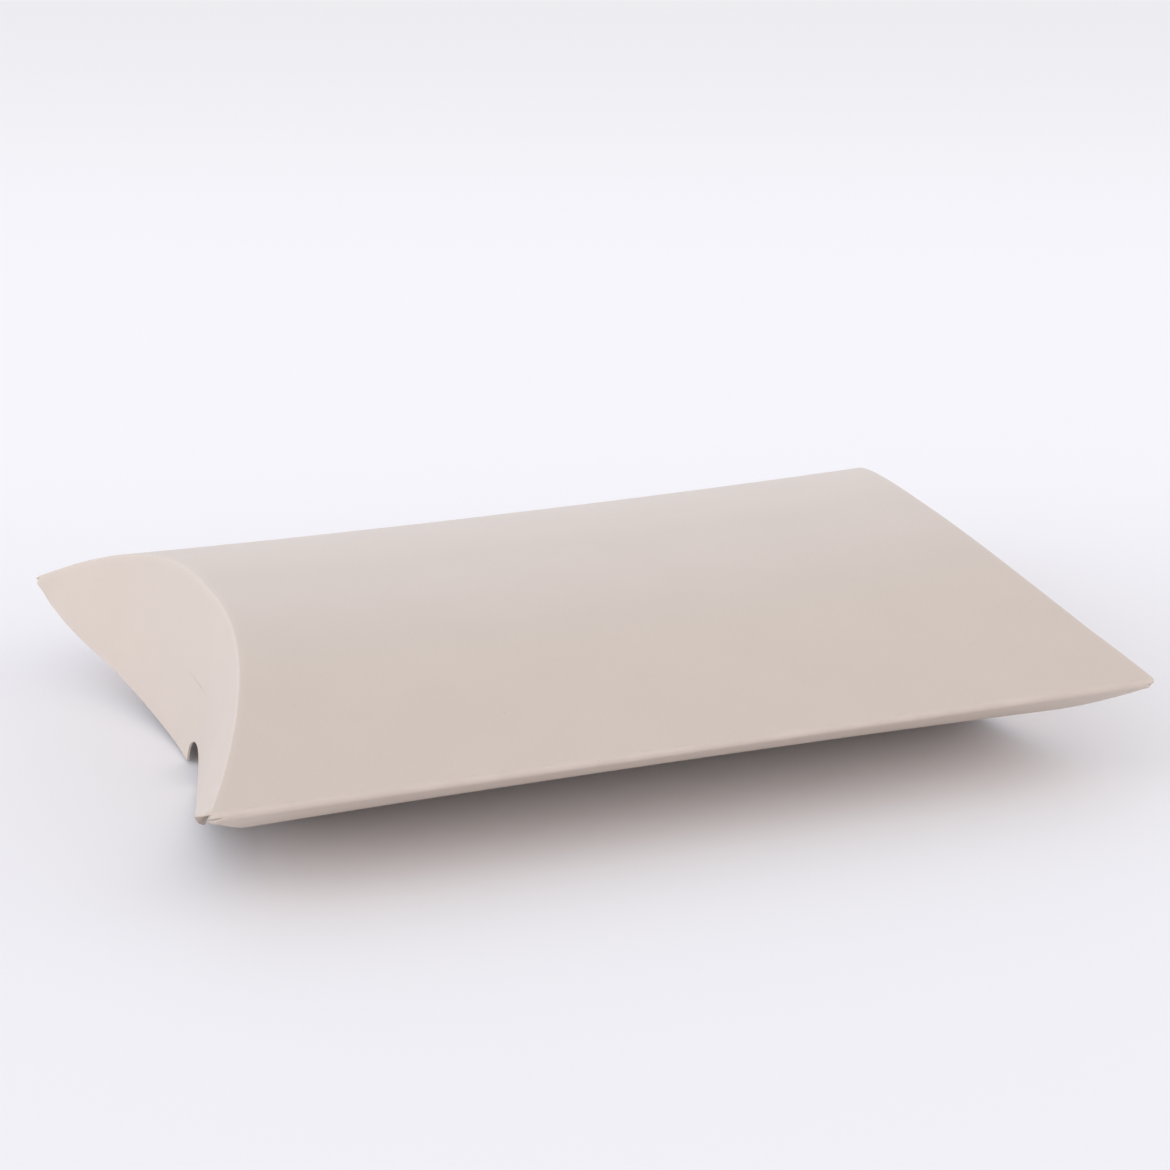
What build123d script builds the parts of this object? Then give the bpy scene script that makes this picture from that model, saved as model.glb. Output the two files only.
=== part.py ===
from build123d import *
import os

# A pillow box of folded card, in millimetres. X runs along the box, Y across it and Z up.
# The origin is under the middle of the box, on the surface that it rests on.

# The sleeve
length = 230
width = 160
top_rise = 21.8
bottom_rise = 24.2
crown_flat = 12
card = 0.5

# The curved creases at the ends. Each is set in as far as its panel rises, and by a little more, which
# makes its flap lean outwards. The inner flaps lie further in, at the corners and behind the outer flaps
outer_lean = 0.7
inner_lean = 1
corner_step = 1
flap_room = 2

# The outer flaps
flap_lift = 0.6
tip_depth = 3.5
tip_setback = 0.4
notch_radius = 7

# The inner flaps
inner_tip_setback = 4

# The glued seam, inside the far side crease
tab_width = 14
tab_setback = 4
tab_taper = 9
glue_width = 8
glue_film = 0.2
glue_setback = 6

# Room between a flap and what it is creased to
crease_gap = 0.4

# The two ends, and the two halves of the sleeve above and below the side creases
LEFT, RIGHT = -1, 1
TOP, BOTTOM = 1, -1

# Places that follow from the sizes
beyond = length
side_level = bottom_rise
height = bottom_rise + top_rise
half_width = width / 2
keep_half = {TOP: Keep.TOP, BOTTOM: Keep.BOTTOM}
rise = {TOP: top_rise, BOTTOM: bottom_rise}
inset = {TOP: top_rise + outer_lean, BOTTOM: bottom_rise + inner_lean}


# How far in from its corners the middle of a flap lies, at the level of the side creases
def flap_depth(half):
    return (inset[half] ** 2 + rise[half] ** 2) / (2 * inset[half])


# The ends of each panel's side creases, from the middle of the box
tuck = max(corner_step, flap_room + card + flap_depth(TOP) - flap_depth(BOTTOM))
corner = {TOP: length / 2, BOTTOM: length / 2 - tuck}

# A folded flap drops by this share of its depth, and its free edge stops just above the base
drop_share = rise[TOP] / flap_depth(TOP)
flap_reach = (height - flap_lift) / drop_share - inset[TOP]


# The lens-shaped outline of the sleeve: a level strip along each crown, and an arc from it to each side
def lens_outline():
    for level in (0, height):
        crown = Line((-crown_flat / 2, level), (crown_flat / 2, level))
        TangentArc(crown @ 1, (half_width, side_level), tangent=(1, 0))
        TangentArc(crown @ 0, (-half_width, side_level), tangent=(-1, 0))


# The sheet that lies a given depth inside the outside of the sleeve, above or below the side creases
def sheet(depth, thickness, half):
    with BuildPart() as layer:
        with BuildSketch(Plane.YZ):
            with BuildLine():
                lens_outline()
            make_face()
            if depth:
                offset(amount=-depth, mode=Mode.REPLACE)
            offset(amount=-thickness, mode=Mode.SUBTRACT)
        extrude(amount=beyond, both=True)
        split(bisect_by=Plane.XY.offset(side_level), keep=keep_half[half])
    return layer.part


# The plane of an end's curved crease. It holds both corners and the middle of the crease, and faces outwards
def crease_plane(end, half):
    return Plane(
        origin=(end * corner[half], 0, side_level),
        x_dir=(0, end * half, 0),
        z_dir=(end * rise[half], 0, half * inset[half]),
    )


# All that lies inside a crease, square to its plane. Its curved side is the mitre between panel and flap
def inside_crease(end, half, gap):
    plane = crease_plane(end, half)
    with BuildPart() as core:
        with BuildSketch(Plane.YZ):
            with BuildLine():
                lens_outline()
            make_face()
        extrude(amount=beyond, both=True)
        split(bisect_by=plane, keep=Keep.BOTTOM)
        cut_face = core.faces().filter_by(plane).sort_by(SortBy.AREA)[-1]
        extrude(to_extrude=cut_face, amount=-beyond, mode=Mode.REPLACE)
    return core.part.translate(plane.y_dir * -gap)


# A panel of the sleeve, mitred along the curved crease at each end
def panel(half):
    with BuildPart() as piece:
        add(sheet(0, card, half))
        for end in (LEFT, RIGHT):
            split(bisect_by=crease_plane(end, half), keep=Keep.BOTTOM)
            add(inside_crease(end, half, 0), mode=Mode.SUBTRACT)
    return piece


# The plan of an outer flap before it is folded: a bowed free edge with short cut ends and a thumb notch
tip = half_width - tip_setback
tip_reach = corner[TOP] + tip_depth
edge_reach = corner[TOP] + flap_reach
with BuildSketch() as outer_plan:
    with BuildLine():
        edge = Line((edge_reach, -crown_flat / 2), (edge_reach, crown_flat / 2))
        far_bow = TangentArc(edge @ 1, (tip_reach, tip), tangent=(0, 1))
        near_bow = TangentArc(edge @ 0, (tip_reach, -tip), tangent=(0, -1))
        Polyline(far_bow @ 1, (0, tip), (0, -tip), near_bow @ 1)
    make_face()
    with Locations((edge_reach, 0)):
        Circle(notch_radius, mode=Mode.SUBTRACT)


# The plan of an inner flap before it is folded: its free edge runs straight between the corners
with BuildSketch() as inner_plan:
    Rectangle(corner[BOTTOM], width - 2 * inner_tip_setback, align=(Align.MIN, Align.CENTER))


# A flap, drawn straight on from its panel and folded over by mirroring it in the plane of its crease
def flap(end, half, plan):
    fold = crease_plane(end, half)
    with BuildPart() as piece:
        with BuildSketch():
            add(plan.sketch)
            if end == LEFT:
                mirror(about=Plane.YZ, mode=Mode.REPLACE)
        extrude(amount=height)
        add(sheet(0, card, half), mode=Mode.INTERSECT)
        split(bisect_by=fold, keep=Keep.TOP)
        mirror(about=fold, mode=Mode.REPLACE)
        add(inside_crease(end, half, crease_gap), mode=Mode.INTERSECT)
    return piece


# The top and bottom panels
top_panel = panel(TOP)
bottom_panel = panel(BOTTOM)

# The flaps of both ends
left_outer_flap = flap(LEFT, TOP, outer_plan)
right_outer_flap = flap(RIGHT, TOP, outer_plan)
left_inner_flap = flap(LEFT, BOTTOM, inner_plan)
right_inner_flap = flap(RIGHT, BOTTOM, inner_plan)

# The tab that closes the sleeve, folded in along the far side crease and tapered towards its free edge
tab_edge = half_width - tab_width
tab_end = length / 2 - tab_setback
with BuildPart() as glue_tab:
    with BuildSketch():
        with BuildLine():
            Polyline(
                (-tab_end, half_width),
                (tab_end, half_width),
                (tab_end - tab_taper, tab_edge),
                (tab_taper - tab_end, tab_edge),
                close=True,
            )
        make_face()
    extrude(amount=height)
    add(sheet(card + glue_film, card, BOTTOM), mode=Mode.INTERSECT)

# The film of glue between the tab and the bottom panel
with BuildPart() as seam_glue:
    with BuildSketch():
        with Locations((0, half_width - tab_width / 2)):
            Rectangle(2 * (tab_end - tab_taper - glue_setback), glue_width)
    extrude(amount=height)
    add(sheet(card, glue_film, BOTTOM), mode=Mode.INTERSECT)

# Every piece goes to a file of its own
pieces = {
    "top_panel": top_panel,
    "bottom_panel": bottom_panel,
    "glue_tab": glue_tab,
    "seam_glue": seam_glue,
    "left_outer_flap": left_outer_flap,
    "left_inner_flap": left_inner_flap,
    "right_outer_flap": right_outer_flap,
    "right_inner_flap": right_inner_flap,
}
os.makedirs("parts", exist_ok=True)
for label, piece in pieces.items():
    piece.part.label = label
    export_step(piece.part, f"parts/{label}.step")
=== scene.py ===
import math

import bpy
import numpy as np
from mathutils import Matrix, Vector


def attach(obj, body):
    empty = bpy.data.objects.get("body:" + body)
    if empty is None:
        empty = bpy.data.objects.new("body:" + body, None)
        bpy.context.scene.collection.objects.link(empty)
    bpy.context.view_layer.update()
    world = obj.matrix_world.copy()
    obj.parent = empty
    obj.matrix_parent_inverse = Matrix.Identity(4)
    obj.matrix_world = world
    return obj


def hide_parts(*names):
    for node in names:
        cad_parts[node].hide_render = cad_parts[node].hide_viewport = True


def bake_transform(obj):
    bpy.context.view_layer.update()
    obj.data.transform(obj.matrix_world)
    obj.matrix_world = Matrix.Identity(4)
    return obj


# A pillow box of folded card on a pale table. Sizes are in millimetres until a mesh is made
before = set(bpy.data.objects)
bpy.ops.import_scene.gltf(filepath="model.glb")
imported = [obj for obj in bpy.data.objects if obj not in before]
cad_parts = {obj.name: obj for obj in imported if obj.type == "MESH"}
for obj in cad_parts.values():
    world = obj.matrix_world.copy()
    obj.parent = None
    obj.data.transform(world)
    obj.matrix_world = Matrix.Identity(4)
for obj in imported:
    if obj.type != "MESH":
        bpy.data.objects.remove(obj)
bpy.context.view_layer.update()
MM = 0.001

# The two halves of the sleeve, above and below its side creases, and its two ends
TOP, BOTTOM = 1, -1
LEFT, RIGHT = -1, 1

# The sleeve: two bowed panels that meet along the side creases
LENGTH = 230.0
WIDTH = 160.0
CARD = 0.5
CROWN_FLAT = 12.0
SIDE_FOLD = 1.2
RISE = {TOP: 21.8, BOTTOM: 24.2}
SIDE_LEVEL = RISE[BOTTOM]
HEIGHT = SIDE_LEVEL + RISE[TOP]

# How much each panel is hollowed along its length, as a share of its height
SAG = {TOP: 0.096, BOTTOM: 0.074}

# How far in from the corners the middle of each curved crease lies, on the neat solids and on this box
NEAT_INSET = {TOP: 22.5, BOTTOM: 25.2}
INSET = {(TOP, LEFT): 23.32, (TOP, RIGHT): 21.69, (BOTTOM, LEFT): 26.17, (BOTTOM, RIGHT): 26.17}

# The right end is fuller at its near corner: how far its creases stand out there, at places across the box
SWELL = {
    TOP: [
        (-80, -0.6), (-79.9, 0.3), (-79.6, 1.05), (-79, 1.25), (-76.5, 1.35), (-72.5, 1.25), (-62.8, 0.45),
        (-40, 0.05), (80, 0),
    ],
    BOTTOM: [(-80, -0.6), (-79.9, -0.4), (-79.6, -0.1), (-79, 0), (80, 0)],
}

# The flaps, as they are cut in the flat blank. The inner ones have their corners a step further in
NOTCH = 7.0
FREE_EDGE_X = 137.9
TIP_X = 118.5
TIP_Y = 79.6
INNER_TIP_Y = 76.0
INNER_STEP = 1.0

# The angle of each outer flap at places across the box, in degrees from level: at -90 it hangs straight
# down. The near corner of the left one springs outwards, as the photograph shows
OUTER_LEAN = {
    LEFT: [
        (-79.6, 3), (-78, -29.5), (-76, -49.8), (-73, -62), (-70, -66.4), (-67, -67.6), (-55, -68.1),
        (-35, -73.4), (-13, -80.1), (-8.4, -81.8), (0, -83.6), (7, -83.9), (18, -84.6), (48, -85.2),
        (57, -83.9), (62, -82.3), (70, -80.8), (76, -82.8), (78, -78.5), (79.6, -66.5),
    ],
    RIGHT: [(-79.6, -94), (-76, -92), (-50, -90), (0, -88), (50, -90), (70, -91), (79.6, -94)],
}

# The inner flaps stand at this angle all along, straight up being -90 for them
INNER_LEAN = -87.7

# How much less far each outer flap reaches than it was drawn: the left one at places across the box, and the
# right one at distances from its middle
LEFT_SHORTER = [
    (-79.6, 0.75), (-79, 1.3), (-78, 1.75), (-75, 2.01), (-63, 2.62), (-57, 2.6), (-42, 2.1), (-28, 1.6),
    (-18, 0.9), (-8.4, 0.2), (0, 0), (75, 0), (76, 0.12), (77, 0.81), (78, 1.48), (79, 2.0), (79.6, 2.05),
]
RIGHT_SHORTER = [(0, 0), (40, 0.1), (45, 0.35), (55, 1.1), (70, 2.3), (76, 2.85), (79.6, 3.6)]

# The left outer flap's far tip goes on round the side fold, and shrinks there to a share of its reach
WRAP_STOP = WIDTH / 2 - 0.05
WRAP_SHARE = 0.05

# The curved creases are rounded to this radius. Towards the tips of the flaps the rounding fades, over a
# distance that ends just past the tip, and down to a share of itself
CREASE_FOLD = 0.72
FOLD_FADE = 6.0
FADE_PAST_TIP = 0.5
SHARPEST = 0.03

# At its corners the cut between the flaps lets the bottom panel drop a little from the top one
SLIT_GAP = {LEFT: 0.3, RIGHT: 0.12}
SLIT_X = {LEFT: 112.0, RIGHT: 113.0}
SLIT_RUN = 0.6
SLIT_Y = 74.0

# The card is pressed thinner, by this share, where the side folds meet the curved creases: the distances
# along and across the box at which that starts and is full
THIN_X = (110.0, 113.5)
THIN_Y = (78.5, 79.6)
THIN_SHARE = 0.55

# The glued seam inside the far side crease
SEAM_GAP = 2.2
TAB_DIVE = 2.6
TAB_WIDTH = 14.0
TAB_END = 111.0
TAB_TAPER = 9.0
GLUE_WIDTH = 8.0
GLUE_SETBACK = 6.0
GLUE_FILM = 0.2

# How many slices lie across the box: round the notch, over the flap, at its tip, past it and round the side
NOTCH_SLICES = 8
FLAP_SLICES = 30
TIP_RUN = 4.0
TIP_SHARES = (0.25, 0.45, 0.62, 0.76, 0.88, 1.0)
ROOM_BEYOND = 1.0
SLICES_BEYOND = 6
FOLD_SLICES = 9

# How many steps lie along each slice: on a flap, on each half of a crease, and on the panel, where the first
# points lie at these distances from its creases
FLAP_STEPS = 22
CREASE_STEPS = 3
PANEL_STEPS = 40
NEAR_CREASE = (0.4, 0.8, 1.3, 1.9, 2.6, 3.5, 4.6)

# The grid of the strips inside the seam. Their slices lie closer together towards the side crease
STRIP_SPARE = 4.0
STRIP_PROFILE = 40
STRIP_COLUMNS = 49
STRIP_CLOSER = 1.5
TAB_ROWS = 26
GLUE_ROWS = 12
SLOPE_STEP = 0.05

# The distance from a fold beyond which it leaves no mark, and one too small to matter
FAR_OFF = 6.0
ROUNDING = 0.001

# The camera, fitted to the photograph's outlines. It looks from the near left, a little from above
EYE = (-298.9, -775.6, 340.8)
YAW, PITCH, ROLL = -21.225, 20.155, 0.428
FOCAL_PIXELS = 3650.161
PHOTO_PIXELS = 1170
SENSOR = 36.0
FARTHEST_SEEN = 50000.0


# A smooth curve through a few chosen points, which never overshoots them
def smooth_through(points, at):
    xs, ys = np.array(points).T
    gaps = np.diff(xs)
    slopes = np.diff(ys) / gaps
    tangents = np.zeros(len(xs))
    tangents[0], tangents[-1] = slopes[0], slopes[-1]
    for i in range(1, len(xs) - 1):
        if slopes[i - 1] * slopes[i] > 0:
            before, after = 2 * gaps[i] + gaps[i - 1], gaps[i] + 2 * gaps[i - 1]
            tangents[i] = (before + after) / (before / slopes[i - 1] + after / slopes[i])
    at = min(max(at, xs[0]), xs[-1])
    i = min(max(int(np.searchsorted(xs, at)) - 1, 0), len(xs) - 2)
    t = (at - xs[i]) / gaps[i]
    return float(
        ys[i] * (1 + 2 * t) * (1 - t) ** 2
        + ys[i + 1] * t * t * (3 - 2 * t)
        + gaps[i] * t * (1 - t) * (tangents[i] * (1 - t) - tangents[i + 1] * t)
    )


# A smooth step from 0 to 1
def eased(start, stop, at):
    t = np.clip((at - start) / (stop - start), 0, 1)
    return t * t * (3 - 2 * t)


# The distance of each point in a line of points from the first, along the line
def run_along(points):
    return np.concatenate([[0], np.cumsum(np.linalg.norm(np.diff(points, axis=0), axis=1))])


# The radius of a panel's arc, and its slope where it runs into the side fold
def panel_arc(rise):
    run = WIDTH / 2 - CROWN_FLAT / 2 - SIDE_FOLD
    radius = (run * run + rise * rise - SIDE_FOLD * SIDE_FOLD) / (2 * (rise - SIDE_FOLD))
    return radius, math.atan2(run, radius - rise)


# How far a panel stands off the side creases: a level strip, an arc and then the side fold
def arc_height(rise, y):
    radius, slope = panel_arc(rise)
    past = max(0.0, abs(y) - CROWN_FLAT / 2)
    into_fold = min(1.0, max(0.0, (abs(y) - WIDTH / 2 + SIDE_FOLD) / SIDE_FOLD))
    if into_fold > math.sin(slope):
        return SIDE_FOLD * math.sqrt(1 - into_fold**2)
    return rise - radius + math.sqrt(radius * radius - past * past)


# That height with the panel's hollow taken off, at a share of its length
def hollowed(half, height, share):
    return height * (1 - SAG[half] * 4 * share * (1 - share))


# The points (y, height) of one half of the section: at the given slices, and on to the side crease
def section(rise, slices):
    _, slope = panel_arc(rise)
    fold_middle = WIDTH / 2 - SIDE_FOLD
    fold_start = fold_middle + SIDE_FOLD * math.sin(slope)
    if fold_start - slices[-1] > ROOM_BEYOND:
        slices = slices + list(np.linspace(slices[-1], fold_start, SLICES_BEYOND + 1)[1:])
    reached = math.asin((slices[-1] - fold_middle) / SIDE_FOLD)
    points = [(y, arc_height(rise, y)) for y in slices]
    for angle in np.linspace(max(slope, reached), math.pi / 2, FOLD_SLICES + 1)[1:]:
        points.append((fold_middle + SIDE_FOLD * math.sin(angle), SIDE_FOLD * math.cos(angle)))
    return points


# The slices that a panel shares with its flaps, which are closer together round the notch and at the tips
def flap_slices(tip):
    notch = [NOTCH * math.sin(angle) for angle in np.linspace(0, math.pi / 2, NOTCH_SLICES + 1)]
    body = list(np.linspace(NOTCH, tip - TIP_RUN, FLAP_SLICES + 1)[1:])
    return notch + body + [tip - TIP_RUN * (1 - share) for share in TIP_SHARES]


# How far an outer flap reaches from its crease as it is drawn: to a bowed free edge with a thumb notch
def drawn_reach(y):
    y = abs(y)
    run, drop = TIP_Y - CROWN_FLAT / 2, FREE_EDGE_X - TIP_X
    radius = (run * run + drop * drop) / (2 * drop)
    past = max(0.0, min(y, TIP_Y) - CROWN_FLAT / 2)
    edge = FREE_EDGE_X - radius + math.sqrt(radius * radius - past * past)
    if y < NOTCH:
        edge -= math.sqrt(NOTCH * NOTCH - y * y)
    crease = LENGTH / 2 - NEAT_INSET[TOP] * arc_height(RISE[TOP], min(y, TIP_Y)) / RISE[TOP]
    return edge - crease


def outer_reach(end, y):
    if end == RIGHT:
        return drawn_reach(y) - smooth_through(RIGHT_SHORTER, abs(y))
    left_over = 1 - (1 - WRAP_SHARE) * float(eased(TIP_Y, WRAP_STOP, y))
    return (drawn_reach(y) - smooth_through(LEFT_SHORTER, y)) * left_over


# An inner flap's free edge runs straight between its corners
def inner_reach(end, y):
    height = arc_height(RISE[BOTTOM], min(abs(y), INNER_TIP_Y))
    return INSET[BOTTOM, end] * height / RISE[BOTTOM] - INNER_STEP


def outer_lean(end, y):
    return smooth_through(OUTER_LEAN[end], y)


def inner_lean(end, y):
    return INNER_LEAN


# One crease and its flap in a slice, as (x, height) pairs from the panel to the free edge
def crease_and_flap(end, crease, rising, angle, reach, rounded):
    turn = rising - angle
    tangent = rounded * CREASE_FOLD * math.tan(abs(turn) / 2)
    along = np.array([end * math.cos(rising), math.sin(rising)])
    down = np.array([end * math.cos(angle), math.sin(angle)])
    start, stop = crease - tangent * along, crease + tangent * down
    free = crease + reach * down
    weight = math.cos(turn / 2)
    points = []
    for t in np.linspace(0, 1, 2 * CREASE_STEPS + 1):
        low, mid, high = (1 - t) ** 2, 2 * weight * t * (1 - t), t * t
        points.append((low * start + mid * crease + high * stop) / (low + mid + high))
    return points + [stop + (free - stop) * t for t in np.linspace(0, 1, FLAP_STEPS + 1)[1:]]


# A slice of a panel and its two flaps, as (x, height) pairs from the left free edge to the right one
def slice_points(half, y, height, lean, reach, rounded):
    creases = {end: end * (LENGTH / 2 - INSET[half, end] * height / RISE[half]) for end in (LEFT, RIGHT)}
    creases[RIGHT] += smooth_through(SWELL[half], y)
    span = creases[RIGHT] - creases[LEFT]
    rising = math.atan2(4 * SAG[half] * height, span)
    ends = {}
    for end in (LEFT, RIGHT):
        crease = np.array([creases[end], height])
        ends[end] = crease_and_flap(end, crease, rising, math.radians(lean(end, y)), reach(end, y), rounded)
    left, right = ends[LEFT][0][0], ends[RIGHT][0][0]
    inset = NEAR_CREASE[-1]
    xs = [left + gap for gap in NEAR_CREASE]
    xs += list(np.linspace(left + inset, right - inset, PANEL_STEPS + 1)[1:-1])
    xs += [right - gap for gap in reversed(NEAR_CREASE)]
    middle = [np.array([x, hollowed(half, height, (x - creases[LEFT]) / span)]) for x in xs]
    return ends[LEFT][::-1] + middle + ends[RIGHT]


# Which columns of a whole grid belong to the left flap, the panel and the right flap
PANEL = 0
ON_FLAP = FLAP_STEPS + CREASE_STEPS
LAST = 2 * ON_FLAP + 2 * CREASE_STEPS + 2 * len(NEAR_CREASE) + PANEL_STEPS
PARTS = {
    LEFT: slice(0, ON_FLAP + 1),
    PANEL: slice(ON_FLAP, LAST - ON_FLAP + 1),
    RIGHT: slice(LAST - ON_FLAP, LAST + 1),
}


# The direction square to a grid of points, at each point, with large faces counting most
def grid_normals(points, outwards):
    faces = np.cross(points[1:, 1:] - points[:-1, :-1], points[:-1, 1:] - points[1:, :-1])
    normals = np.zeros_like(points)
    for rows in (slice(0, -1), slice(1, None)):
        for columns in (slice(0, -1), slice(1, None)):
            normals[rows, columns] += faces
    normals /= np.linalg.norm(normals, axis=2, keepdims=True)
    return normals * np.sign((normals[:, points.shape[1] // 2, 2] * outwards).sum())


# Lowers the bottom panel's corners, past the slits
def drop_corners(outside):
    at_side = eased(SLIT_Y, WIDTH / 2, np.abs(outside[:, :, 1]))
    for end in (LEFT, RIGHT):
        opened = eased(SLIT_X[end], SLIT_X[end] + SLIT_RUN, end * outside[:, :, 0])
        outside[:, :, 2] -= SLIT_GAP[end] * opened * at_side


# What the card's material needs to know at each point: how near it is to a side fold and to a curved crease,
# how far out on a flap it lies, and its place across the box
def fold_marks(along, across, sides):
    crease = np.full(along.shape, FAR_OFF)
    reach = np.zeros(along.shape)
    for end, column in ((LEFT, PARTS[PANEL].start), (RIGHT, PARTS[PANEL].stop - 1)):
        beyond = end * (along - along[:, column : column + 1])
        crease = np.minimum(crease, np.abs(beyond))
        reach = np.maximum(reach, beyond)
    side_fold = np.minimum(across, across[-1] - across)
    return {
        "near_fold": np.clip(FAR_OFF - side_fold, 0, None),
        "near_crease": np.clip(FAR_OFF - crease, 0, None),
        "reach": reach,
        "side": sides,
    }


# A panel with both of its flaps as a grid of points, a slice in each row: the outside of the card, the
# directions square to it, the places in the flat blank and the marks
def carton_half(half, tip, lean, reach):
    profile = section(RISE[half], flap_slices(tip))
    rows = [(-y, height) for y, height in reversed(profile)] + profile[1:]
    grid = []
    for y, height in rows:
        rounded = min(1.0, max(SHARPEST, (tip + FADE_PAST_TIP - abs(y)) / FOLD_FADE))
        points = slice_points(half, y, height, lean, reach, rounded)
        grid.append([(x, y, SIDE_LEVEL + half * z) for x, z in points])
    outside = np.array(grid)
    if half == BOTTOM:
        drop_corners(outside)
    middle = outside.shape[1] // 2
    along = np.array([run_along(row) for row in outside])
    along -= along[:, middle : middle + 1] - outside[:, middle : middle + 1, 0]
    across = np.repeat(run_along(outside[:, middle])[:, None], outside.shape[1], axis=1)
    return {
        "y": outside[:, 0, 1],
        "outside": outside,
        "normals": grid_normals(outside, half),
        "flat": np.stack([along, across], axis=2),
        "marks": fold_marks(along, across, outside[:, :, 1]),
    }


# The materials of a piece of card, in their order
FACE, BACK, EDGE = 0, 1, 2


# The faces of a closed sheet: two skins and the cut edges between them. Each comes with its material and the
# side of the sheet that it is on, which is 0 for an edge
def sheet_faces(rows, columns):
    count = rows * columns
    for row in range(rows - 1):
        for column in range(columns - 1):
            a = row * columns + column
            b = a + columns
            yield [a, a + 1, b + 1, b], FACE, 1
            yield [count + a, count + b, count + b + 1, count + a + 1], BACK, -1
    border = list(range(columns)) + [row * columns + columns - 1 for row in range(1, rows)]
    border += [(rows - 1) * columns + column for column in range(columns - 2, -1, -1)]
    border += [row * columns for row in range(rows - 2, 0, -1)]
    for a, b in zip(border, border[1:] + border[:1]):
        yield [b, a, count + a, count + b], EDGE, 0


# A closed mesh of card under a grid of points, which is its outside
def card_mesh(name, outside, normals, flat, materials, thickness, marks):
    rows, columns = outside.shape[:2]
    count = rows * columns
    thinned = eased(*THIN_X, np.abs(outside[:, :, 0])) * eased(*THIN_Y, np.abs(outside[:, :, 1]))
    inside = outside - normals * (thickness * (1 - THIN_SHARE * thinned))[:, :, None]
    verts = np.concatenate([outside.reshape(-1, 3), inside.reshape(-1, 3)]) * MM

    row, column = rows // 2, columns // 2
    here = outside[row, column]
    turned = np.cross(outside[row, column + 1] - here, outside[row + 1, column] - here)
    flipped = np.dot(turned, normals[row, column]) < 0
    directions = normals.reshape(-1, 3)
    faces, slots, loops = [], [], []
    for corners, slot, side in sheet_faces(rows, columns):
        corners = corners[::-1] if flipped else corners
        faces.append(corners)
        slots.append(slot)
        loops += [tuple(directions[corner % count] * side) for corner in corners]

    mesh = bpy.data.meshes.new(name)
    mesh.from_pydata([tuple(vert) for vert in verts], [], faces)
    for material in materials:
        mesh.materials.append(material)
    mesh.polygons.foreach_set("material_index", slots)
    mesh.polygons.foreach_set("use_smooth", [slot != EDGE for slot in slots])
    layer = mesh.uv_layers.new(name="blank")
    places = flat.reshape(-1, 2) * MM
    for loop in mesh.loops:
        layer.data[loop.index].uv = places[loop.vertex_index % count]
    for key, values in marks.items():
        attribute = mesh.attributes.new(key, "FLOAT", "POINT")
        attribute.data.foreach_set("value", np.tile(values.reshape(-1), 2).astype(np.float32))
    mesh.normals_split_custom_set(loops)
    piece = bpy.data.objects.new(name, mesh)
    bpy.context.collection.objects.link(piece)
    return piece


# A new node with its inputs linked or set, and with its settings
def node(tree, kind, inputs=None, **settings):
    made = tree.nodes.new(kind)
    for key, value in settings.items():
        setattr(made, key, value)
    for key, value in (inputs or {}).items():
        if isinstance(value, bpy.types.NodeSocket):
            tree.links.new(value, made.inputs[key])
        else:
            made.inputs[key].default_value = value
    return made


# The emptied nodes of a material or a world, with their output
def emptied(holder, output_kind):
    holder.use_nodes = True
    tree = holder.node_tree
    tree.nodes.clear()
    return tree, node(tree, output_kind)


def worked_out(tree, operation, *values):
    return node(tree, "ShaderNodeMath", dict(enumerate(values)), operation=operation).outputs["Value"]


def times(tree, first, second):
    return worked_out(tree, "MULTIPLY", first, second)


def added(tree, *values):
    total = values[0]
    for value in values[1:]:
        total = worked_out(tree, "ADD", total, value)
    return total


# How far a vector goes in a direction
def towards(tree, vector, direction):
    inputs = {0: vector, 1: tuple(direction)}
    return node(tree, "ShaderNodeVectorMath", inputs, operation="DOT_PRODUCT").outputs["Value"]


def scaled(tree, vector, factor):
    inputs = {0: vector, "Scale": factor}
    return node(tree, "ShaderNodeVectorMath", inputs, operation="SCALE").outputs["Vector"]


# What goes from low to high as the value goes from start to stop, evenly unless kind says otherwise
def mapped(tree, value, start, stop, low=0.0, high=1.0, kind="LINEAR"):
    inputs = {"Value": value, "From Min": start, "From Max": stop, "To Min": low, "To Max": high}
    return node(tree, "ShaderNodeMapRange", inputs, interpolation_type=kind).outputs["Result"]


# 1 where the value is at the middle, falling to 0 on each side of it
def pulse(tree, value, middle, half_width):
    off = worked_out(tree, "ABSOLUTE", worked_out(tree, "SUBTRACT", value, middle))
    return mapped(tree, off, 0.0, half_width, 1.0, 0.0, kind="SMOOTHSTEP")


# One of the measures that a mesh keeps at its points
def measure(tree, name):
    return node(tree, "ShaderNodeAttribute", attribute_name=name).outputs["Fac"]


# 1 within the first distance of a fold, falling to 0 at the second
def near(tree, name, full, gone):
    return mapped(tree, measure(tree, name), FAR_OFF - gone, FAR_OFF - full, kind="SMOOTHSTEP")


# The card's own pattern: the noises over the flat blank, with their scale, their detail and where they are
# drawn out a stretch below 1, and the part of their range that is used
NOISES = {
    "clouds": (45.0, 3.0, None),
    "fibres": (1500.0, 3.0, (0.55, 1.0, 1.0)),
    "grain": (5200.0, 2.0, None),
    "blotches": (160.0, 2.0, (0.45, 1.0, 1.0)),
    "crinkles": (900.0, 2.0, (1.0, 0.5, 1.0)),
    "gaps": (210.0, 1.0, (0.8, 1.0, 1.0)),
}
NOISE_ROUGHNESS = 0.6
NOISE_RANGE = (0.3, 0.7)
GRAIN_GLOSS = 0.04
RELIEF_HEIGHT = 0.02

# The specks are dots in the middles of a few cells
SPECK_CELLS = 240.0
SPECK_RIM = (0.03, 0.06)
SPECK_CHOSEN = (0.8, 1.0)
SPECK_DARKER = 0.2

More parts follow.
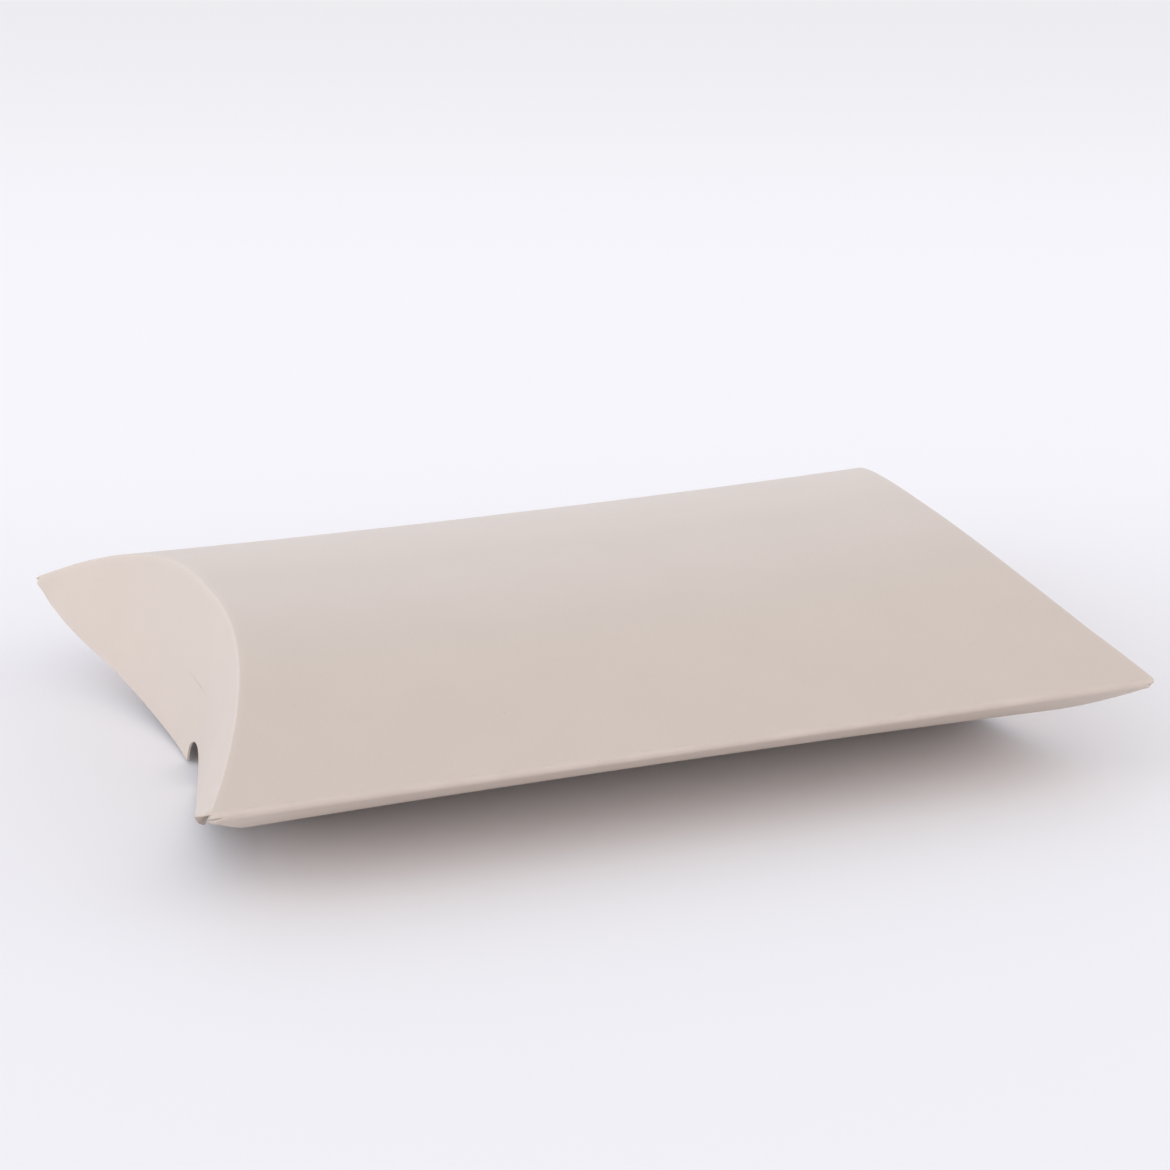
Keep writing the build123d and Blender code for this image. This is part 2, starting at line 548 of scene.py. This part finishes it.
# The marks along the folds, some of them painted light or shade: how far they lie from the side creases or
# the curved ones, how much lighter or darker they are, and between which levels of a noise they come up
RUBBED_FULL, RUBBED_GONE = 0.8, 2.4
RUBBED_LEVELS = (0.42, 0.62)
RUBBED_LIGHTER = 0.05
# Painted highlight: how far from the curved creases the lighter band reaches, and how much lighter it is
CREASE_HIGHLIGHT_GONE = 2.5
CREASE_HIGHLIGHT_LIGHTER = 0.03
# A dented broken line beside the side creases, painted darker as painted shade in the dent
BROKEN_LINE_AT = 1.7
BROKEN_LINE_WIDTH = 0.2
BROKEN_LEVELS = (0.56, 0.66)
BROKEN_LINE_SHADE_DARKER = 0.07
CRINKLE_HEIGHT = 2.5

# The line that the inner flap presses into the outer one, in millimetres from the crease and from the
# middle.
# It is dented, and painted darker as painted shade in the dent
PRESSED_REACH = 24.0
PRESSED_WIDTH = 0.36
PRESSED_SIDE = 2.2
PRESSED_RUN = 12.5
PRESSED_SHADE_DARKER = 0.16
PRESSED_DEPTH = 5.0


def noise(tree, place, scale, detail, stretch):
    if stretch:
        place = node(tree, "ShaderNodeMapping", {"Vector": place, "Scale": stretch}).outputs["Vector"]
    inputs = {"Vector": place, "Scale": scale, "Detail": detail, "Roughness": NOISE_ROUGHNESS}
    return node(tree, "ShaderNodeTexNoise", inputs).outputs["Fac"]


def specks(tree, place):
    cells = node(tree, "ShaderNodeTexVoronoi", {"Vector": place, "Scale": SPECK_CELLS})
    dot = mapped(tree, cells.outputs["Distance"], *SPECK_RIM, 1.0, 0.0)
    tint = node(tree, "ShaderNodeSeparateColor", {"Color": cells.outputs["Color"]}).outputs["Red"]
    return times(tree, times(tree, dot, mapped(tree, tint, *SPECK_CHOSEN)), -SPECK_DARKER)


# Smooth uncoated card: a faint cloudiness, fine fibres along the board, sparse specks and a soft relief. The
# side folds are rubbed a little lighter in places, with a fine broken dent beside them that is painted
# darker as painted shade. A painted highlight lightens the card along the curved creases, and where asked,
# painted shade darkens a pressed dent
def card_material(name, color, roughness, uneven, bump, pressed=False):
    material = bpy.data.materials.new(name)
    tree, out = emptied(material, "ShaderNodeOutputMaterial")
    place = node(tree, "ShaderNodeUVMap", uv_map="blank").outputs["UV"]
    pattern = {key: noise(tree, place, *sizes) for key, sizes in NOISES.items()}

    rubbed = times(
        tree, near(tree, "near_fold", RUBBED_FULL, RUBBED_GONE),
        mapped(tree, pattern["blotches"], *RUBBED_LEVELS, kind="SMOOTHSTEP"),
    )
    # Painted highlight: the card is drawn lighter along the curved creases
    crease_highlight = near(tree, "near_crease", 0.0, CREASE_HIGHLIGHT_GONE)
    # The dented line beside the side folds, painted darker: painted shade in the dent
    broken = times(
        tree, pulse(tree, measure(tree, "near_fold"), FAR_OFF - BROKEN_LINE_AT, BROKEN_LINE_WIDTH),
        mapped(tree, pattern["gaps"], *BROKEN_LEVELS, kind="SMOOTHSTEP"),
    )
    lighter = [
        specks(tree, place),
        times(tree, rubbed, RUBBED_LIGHTER),
        times(tree, crease_highlight, CREASE_HIGHLIGHT_LIGHTER),
        times(tree, broken, -BROKEN_LINE_SHADE_DARKER),
    ]
    heights = [
        pattern["fibres"],
        pattern["grain"],
        times(tree, times(tree, rubbed, pattern["crinkles"]), CRINKLE_HEIGHT),
        times(tree, broken, -CRINKLE_HEIGHT),
    ]
    if pressed:
        line = times(
            tree, pulse(tree, measure(tree, "reach"), PRESSED_REACH, PRESSED_WIDTH),
            pulse(tree, measure(tree, "side"), PRESSED_SIDE, PRESSED_RUN),
        )
        # Painted shade in the pressed dent
        lighter.append(times(tree, line, -PRESSED_SHADE_DARKER))
        heights.append(times(tree, line, -PRESSED_DEPTH))

    cloudy = mapped(tree, pattern["clouds"], *NOISE_RANGE, 1 - uneven, 1 + uneven)
    fibrous = mapped(tree, pattern["fibres"], *NOISE_RANGE, 1 - uneven, 1 + uneven)
    tone = times(tree, times(tree, cloudy, fibrous), added(tree, *lighter, 1.0))
    gloss = mapped(tree, pattern["grain"], *NOISE_RANGE, roughness - GRAIN_GLOSS, roughness + GRAIN_GLOSS)
    relief = {"Height": added(tree, *heights), "Strength": bump, "Distance": RELIEF_HEIGHT * MM}
    shader = node(tree, "ShaderNodeBsdfPrincipled", {
        "Base Color": scaled(tree, color, tone),
        "Roughness": gloss,
        "Normal": node(tree, "ShaderNodeBump", relief).outputs["Normal"],
    })
    tree.links.new(shader.outputs["BSDF"], out.inputs["Surface"])
    return material


FACE_COLOR = (0.60, 0.508, 0.455)
BACK_COLOR = (0.50, 0.42, 0.37)
EDGE_COLOR = (0.62, 0.535, 0.48)
GLUE_COLOR = (0.66, 0.60, 0.50)
FACE_FINISH = {"roughness": 0.5, "uneven": 0.012, "bump": 0.6}
face = card_material("card_face", FACE_COLOR, **FACE_FINISH)
pressed_face = card_material("card_face_pressed", FACE_COLOR, **FACE_FINISH, pressed=True)
back = card_material("card_back", BACK_COLOR, roughness=0.7, uneven=0.02, bump=0.8)
edge = card_material("card_cut_edge", EDGE_COLOR, roughness=0.8, uneven=0.05, bump=0.9)
dried = card_material("dried_glue", GLUE_COLOR, roughness=0.32, uneven=0.03, bump=0.35)
CARD_MATERIALS = [face, back, edge]
PRESSED_MATERIALS = [pressed_face, back, edge]


# The two halves of the carton, each with both of its flaps
upper = carton_half(TOP, TIP_Y, outer_lean, outer_reach)
lower = carton_half(BOTTOM, INNER_TIP_Y, inner_lean, inner_reach)


# Some columns of a half as a piece of card, from one place across the box to another
def piece_of(grid, name, columns, from_y, to_y, materials):
    kept = np.nonzero((grid["y"] > from_y - ROUNDING) & (grid["y"] < to_y + ROUNDING))[0]
    rows = slice(kept[0], kept[-1] + 1)
    outside, normals, flat = (grid[key][rows, columns] for key in ("outside", "normals", "flat"))
    marks = {key: values[rows, columns] for key, values in grid["marks"].items()}
    return card_mesh(name, outside, normals, flat, materials, CARD, marks)


# The panels. The bottom one stops short of the far side crease, where the tab turns in
top_card = piece_of(upper, "top_panel_card", PARTS[PANEL], -WIDTH, WIDTH, CARD_MATERIALS)
bottom_card = piece_of(
    lower, "bottom_panel_card", PARTS[PANEL], -WIDTH, WIDTH / 2 - SEAM_GAP, CARD_MATERIALS
)
for card, node_name in ((top_card, "top_panel"), (bottom_card, "bottom_panel")):
    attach(card, "sleeve")
    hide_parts(node_name)


# How far the points of a flap would turn with its hinge: a share at the hinge, and what it gains with each
# millimetre outwards, sideways and up or down from there
TURNING = {
    ("outer", LEFT): (0.3575, 0.0054, -0.0121, -0.0252),
    ("outer", RIGHT): (0.4698, 0.0064, -0.0145, -0.0285),
    ("inner", LEFT): (0.4432, -0.0023, -0.0116, -0.0257),
    ("inner", RIGHT): (0.4432, -0.0023, -0.0116, -0.0257),
}
HINGES = {
    "outer": (LENGTH / 2 - NEAT_INSET[TOP], HEIGHT),
    "inner": (LENGTH / 2 - INNER_STEP - NEAT_INSET[BOTTOM], 0.0),
}


# The two points between which a piece of a flap goes from staying with the sleeve to turning fully
def turning_span(layer, half, end, side):
    share, outwards, sideways, upright = TURNING[layer, end]
    slope = Vector((end * outwards, side * sideways, half * upright))
    hinge = Vector((end * HINGES[layer][0], 0, HINGES[layer][1]))
    start = hinge - slope * share / slope.length_squared
    return start, start + slope / slope.length_squared


# The flaps, each in a near and a far piece. One tip goes on round the side fold, and one flap shows a line
# that the inner flap presses into it
NAMES = {LEFT: "left", RIGHT: "right"}
SIDES = {"near": -1, "far": 1}
WRAPPED = ("outer", LEFT, "far")
PRESSED = ("outer", LEFT)
for half, grid, layer, tip in ((TOP, upper, "outer", TIP_Y), (BOTTOM, lower, "inner", INNER_TIP_Y)):
    for end in (LEFT, RIGHT):
        for word, side in SIDES.items():
            body = f"{NAMES[end]}_{layer}"
            last = WIDTH if (layer, end, word) == WRAPPED else tip
            flap = piece_of(
                grid, f"{body}_flap_{word}", PARTS[end], min(0, side * last), max(0, side * last),
                PRESSED_MATERIALS if (layer, end) == PRESSED else CARD_MATERIALS,
            )
            start, stop = turning_span(layer, half, end, side)
            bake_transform(flap)
            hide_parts(f"{body}_flap")


# A strip inside the bottom panel, along the far side crease. At each distance from the crease, depth_at says
# how deep under the panel's outside it lies and end_at how far it goes to each end
def inside_strip(name, first, last, depth_at, end_at, thickness, materials, count):
    slices = np.linspace(WIDTH / 2 - TAB_WIDTH - STRIP_SPARE, WIDTH / 2 - SIDE_FOLD, STRIP_PROFILE)
    profile = np.array(section(RISE[BOTTOM], list(slices))[::-1])
    run = run_along(profile)

    def on_profile(distance):
        return np.array([np.interp(distance, run, values) for values in profile.T])

    outside, flat = [], []
    for distance in first + (last - first) * np.linspace(0, 1, count) ** STRIP_CLOSER:
        along = on_profile(distance + SLOPE_STEP) - on_profile(distance - SLOPE_STEP)
        along /= np.linalg.norm(along)
        y, height = on_profile(distance) + depth_at(distance) * np.array([-along[1], along[0]])
        crease = LENGTH / 2 - INSET[BOTTOM, LEFT] * height / RISE[BOTTOM]
        xs = np.linspace(-end_at(distance), end_at(distance), STRIP_COLUMNS)
        levels = SIDE_LEVEL - hollowed(BOTTOM, height, (xs + crease) / (2 * crease))
        outside.append([(x, y, level) for x, level in zip(xs, levels)])
        flat.append([(x, distance) for x in xs])
    outside = np.array(outside)
    normals = grid_normals(outside, BOTTOM)
    return card_mesh(name, outside, normals, np.array(flat), materials, thickness, {})


# The tab turns in from the far side crease and dives under the bottom panel's cut edge, with glue between
def tab_depth(distance):
    return (CARD + GLUE_FILM) * float(eased(0, TAB_DIVE, distance))


def tab_end(distance):
    return TAB_END - TAB_TAPER * distance / TAB_WIDTH


def glue_depth(distance):
    return CARD


def glue_end(distance):
    return TAB_END - TAB_TAPER - GLUE_SETBACK


glue_from = (TAB_WIDTH - GLUE_WIDTH) / 2
tab = inside_strip("glue_tab_card", 0.0, TAB_WIDTH, tab_depth, tab_end, CARD, CARD_MATERIALS, TAB_ROWS)
glue = inside_strip(
    "seam_glue_film", glue_from, glue_from + GLUE_WIDTH, glue_depth, glue_end, GLUE_FILM, [dried] * 3,
    GLUE_ROWS,
)
for piece, node_name in ((tab, "glue_tab"), (glue, "seam_glue")):
    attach(piece, "sleeve")
    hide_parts(node_name)


# The table: a pale sheet, painted lighter in a band behind the box and dimmer far off, which is painted
# light.
# Its colours are reached at these distances behind the middle of the box, in metres along the line of sight,
# and what lights the box from below has a colour of its own
FLOOR_HALF = 6000.0
FLOOR_COLOR = (0.848, 0.824, 0.848, 1)
# Painted light: the brighter band behind the box, and the dimmer floor far off
FLOOR_LIT_BAND_COLOR = (0.888, 0.862, 0.887, 1)
FLOOR_DIM_FAR_COLOR = (0.812, 0.792, 0.80, 1)
FLOOR_STOPS = [
    (0.02, FLOOR_COLOR), (0.22, FLOOR_LIT_BAND_COLOR), (0.36, FLOOR_LIT_BAND_COLOR), (0.92, FLOOR_DIM_FAR_COLOR),
]
FLOOR_BOUNCE = (0.86, 0.835, 0.83, 1)


def table_material():
    material = bpy.data.materials.new("table")
    tree, out = emptied(material, "ShaderNodeOutputMaterial")
    place = node(tree, "ShaderNodeTexCoord").outputs["Object"]
    sight = (-math.sin(math.radians(YAW)), math.cos(math.radians(YAW)), 0)
    ramp = node(tree, "ShaderNodeValToRGB", {"Fac": towards(tree, place, sight)})
    stops = ramp.color_ramp
    stops.interpolation = "EASE"
    for stop, (position, color) in zip(stops.elements, (FLOOR_STOPS[0], FLOOR_STOPS[-1])):
        stop.position = position
        stop.color = color
    for position, color in FLOOR_STOPS[1:-1]:
        stops.elements.new(position).color = color
    rays = node(tree, "ShaderNodeLightPath").outputs
    seen = added(tree, rays["Is Camera Ray"], rays["Is Glossy Ray"], rays["Is Transmission Ray"])
    seen.node.use_clamp = True
    tint = node(tree, "ShaderNodeMix", {0: seen}, data_type="RGBA")
    tint.inputs["A"].default_value = FLOOR_BOUNCE
    tree.links.new(ramp.outputs["Color"], tint.inputs["B"])
    matte = node(tree, "ShaderNodeBsdfDiffuse", {"Color": tint.outputs["Result"]})
    tree.links.new(matte.outputs["BSDF"], out.inputs["Surface"])
    return material


half_side = FLOOR_HALF * MM
corners = [(x * half_side, y * half_side, 0) for x, y in ((-1, -1), (1, -1), (1, 1), (-1, 1))]
floor_mesh = bpy.data.meshes.new("floor")
floor_mesh.from_pydata(corners, [], [(0, 1, 2, 3)])
floor_mesh.materials.append(table_material())
floor = bpy.data.objects.new("floor", floor_mesh)
bpy.context.collection.objects.link(floor)


# Light: soft and pale all round, strongest low on the left, a little cooler behind and warmer in front. Each
# glow has the direction that it comes from, how narrow it is and its colour
GLOWS = {
    "high_behind": ((0, 1, 1), 3, (0.58, 0.61, 0.67)),
    "high_front": ((0, -1, 1), 3, (0.785, 0.762, 0.71)),
    "left": ((-1, -0.15, 0.15), 2, (2.26, 2.37, 2.49)),
    "behind": ((0.25, 1, 0.1), 5, (1.34, 1.38, 1.44)),
    "right": ((1, -0.22, 0.15), 3, (1.71, 1.71, 1.73)),
}
BACKDROP = (0.86, 0.85, 0.89, 1)


# The camera sees an even backdrop where the table ends, and everything else gets the glows
def light_all_round():
    world = bpy.data.worlds.new("surround")
    bpy.context.scene.world = world
    tree, out = emptied(world, "ShaderNodeOutputWorld")
    direction = node(tree, "ShaderNodeTexCoord").outputs["Generated"]
    total = (0.0, 0.0, 0.0)
    for aim, narrow, color in GLOWS.values():
        facing = worked_out(tree, "MAXIMUM", towards(tree, direction, Vector(aim).normalized()), 0.0)
        glow = scaled(tree, color, worked_out(tree, "POWER", facing, narrow))
        total = node(tree, "ShaderNodeVectorMath", {0: total, 1: glow}, operation="ADD").outputs["Vector"]
    shown = node(tree, "ShaderNodeMixShader", {
        0: node(tree, "ShaderNodeLightPath").outputs["Is Camera Ray"],
        1: node(tree, "ShaderNodeBackground", {"Color": total}).outputs["Background"],
        2: node(tree, "ShaderNodeBackground", {"Color": BACKDROP}).outputs["Background"],
    })
    tree.links.new(shown.outputs["Shader"], out.inputs["Surface"])


def place_camera():
    yaw, pitch, roll = (math.radians(angle) for angle in (YAW, PITCH, ROLL))
    backwards = Vector((math.sin(yaw) * math.cos(pitch), -math.cos(yaw) * math.cos(pitch), math.sin(pitch)))
    level_right = (-backwards).cross(Vector((0, 0, 1))).normalized()
    level_up = level_right.cross(-backwards)
    right = level_right * math.cos(roll) + level_up * math.sin(roll)
    up = level_up * math.cos(roll) - level_right * math.sin(roll)
    lens = bpy.data.cameras.new("camera")
    lens.sensor_width = SENSOR
    lens.lens = FOCAL_PIXELS / PHOTO_PIXELS * SENSOR
    lens.clip_end = FARTHEST_SEEN * MM
    camera = bpy.data.objects.new("camera", lens)
    turned = Matrix((right, up, backwards)).transposed().to_4x4()
    camera.matrix_world = Matrix.Translation(Vector(EYE) * MM) @ turned
    bpy.context.collection.objects.link(camera)
    bpy.context.scene.camera = camera


light_all_round()
place_camera()
bpy.context.scene.view_settings.view_transform = "Standard"
